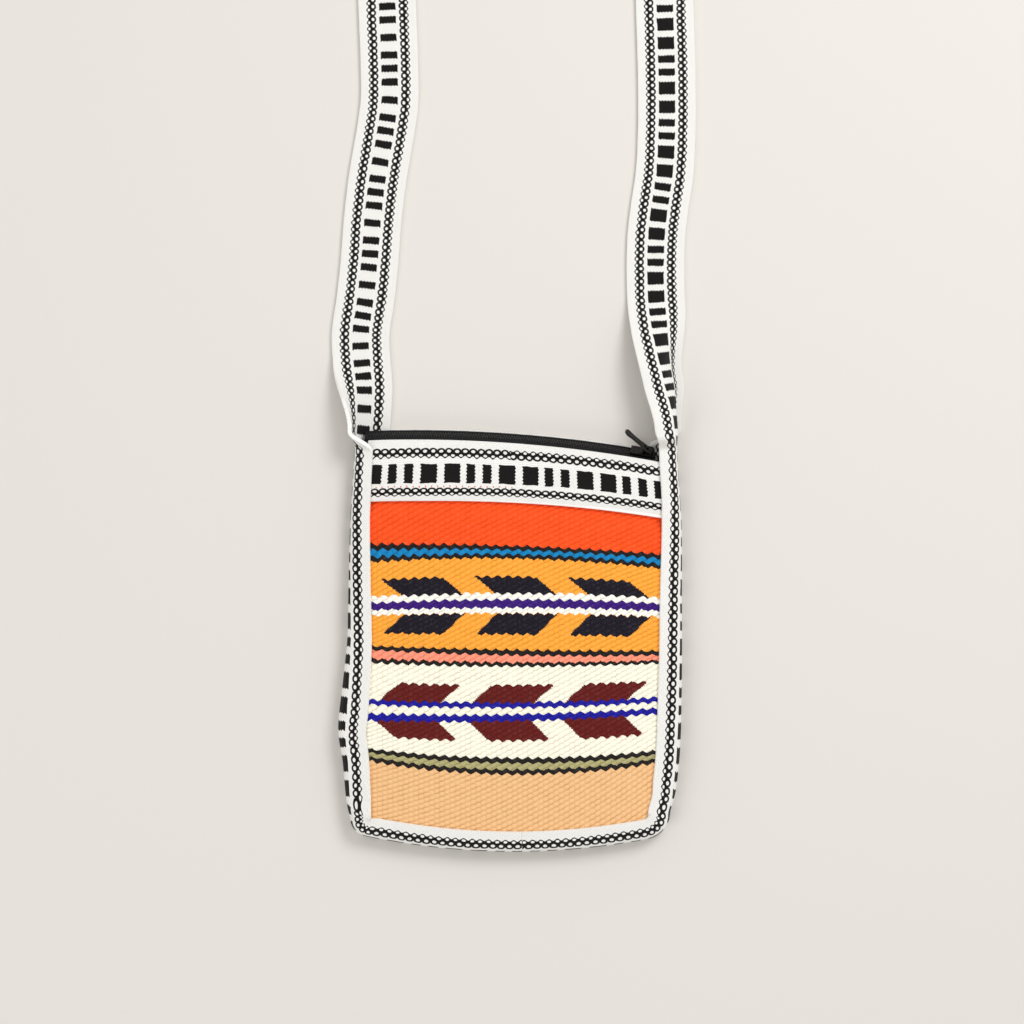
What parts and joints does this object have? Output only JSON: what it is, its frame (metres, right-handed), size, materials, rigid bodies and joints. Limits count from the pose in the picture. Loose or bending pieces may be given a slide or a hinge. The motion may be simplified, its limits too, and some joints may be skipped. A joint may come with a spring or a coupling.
{
  "type": "woven crossbody bag",
  "caption": "Small flat hand-woven wool crossbody bag with a striped front, a patterned band as gusset and shoulder strap, and a zip with slider and pull across the top.",
  "frame": {"origin": "middle of the bag's back, on the surface it lies on", "axes": "+Y from the bag's bottom towards the zip and along the laid-out strap, +Z out of the front panel, +X to the zip's closed end"},
  "size_m": [0.2151, 0.7504, 0.0342],
  "materials": {
    "white_wool": "thick hand-woven wool band, white with black chain and block pattern",
    "striped_wool": "thick hand-woven wool with cross stripes and feather motifs",
    "plain_wool": "thick hand-woven wool",
    "black_tape": "fine woven zip tape",
    "black_teeth": "moulded, glossy black",
    "black_metal": "black lacquered cast metal"
  },
  "bodies": {
    "bag": {"shoulder_band": "white_wool", "front_panel": "striped_wool", "front_top_band": "white_wool", "back_panel": "plain_wool", "back_top_band": "white_wool", "zip_tape_front": "black_tape", "zip_tape_back": "black_tape", "zip_teeth_front": "black_teeth", "zip_teeth_back": "black_teeth"},
    "slider": {"zip_slider": "black_metal"},
    "pull": {"zip_pull": "black_metal"}
  },
  "joints": [
    {"name": "slider_travel", "type": "hinge", "parent": "bag", "child": "slider", "pos_m": [-0.05963, -0.68875, 0.0081], "axis": [0, 0, 1], "range_deg": [0, 10], "deforming": ["zip_teeth_front", "zip_teeth_back"]},
    {"name": "pull_swing", "type": "hinge", "parent": "slider", "child": "pull", "pos_m": [0.07911, 0.11422, 0.01011], "axis": [0.0954, 0.5656, -0.8192], "range_deg": [-29, 45]}
  ]
}
